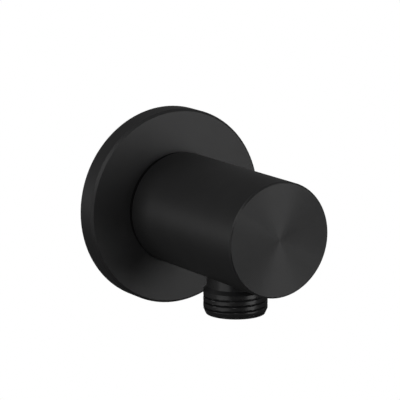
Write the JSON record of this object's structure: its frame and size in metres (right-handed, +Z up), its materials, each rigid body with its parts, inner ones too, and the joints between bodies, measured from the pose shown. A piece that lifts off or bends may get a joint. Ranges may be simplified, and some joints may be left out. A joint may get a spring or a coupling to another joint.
{
  "type": "wall outlet elbow",
  "caption": "Matt black round wall outlet elbow for a shower hose: turned cylinder on a round wall plate, inlet pipe nipple behind and threaded hose nipple below.",
  "frame": {"origin": "inlet nipple's axis at the wall plane, which is the plate's back face", "axes": "+Y into the wall along the inlet, +Z up, the elbow stands out along -Y and the hose leaves along -Z"},
  "size_m": [0.0654, 0.0827, 0.0654],
  "materials": {
    "satin_black": "satin",
    "outlet_black": "gloss",
    "brass": "turned",
    "seal_rubber": "matt",
    "screw_steel": "satin"
  },
  "bodies": {
    "root": {"wall_plate": "satin_black", "elbow_body": "satin_black", "outlet_nipple": "outlet_black", "wall_nipple": "brass", "plate_seal": "seal_rubber", "plate_oring": "seal_rubber", "rear_spigot_oring": "seal_rubber", "front_spigot_oring": "seal_rubber", "outlet_oring": "seal_rubber", "grub_screw": "screw_steel"}
  },
  "joints": []
}
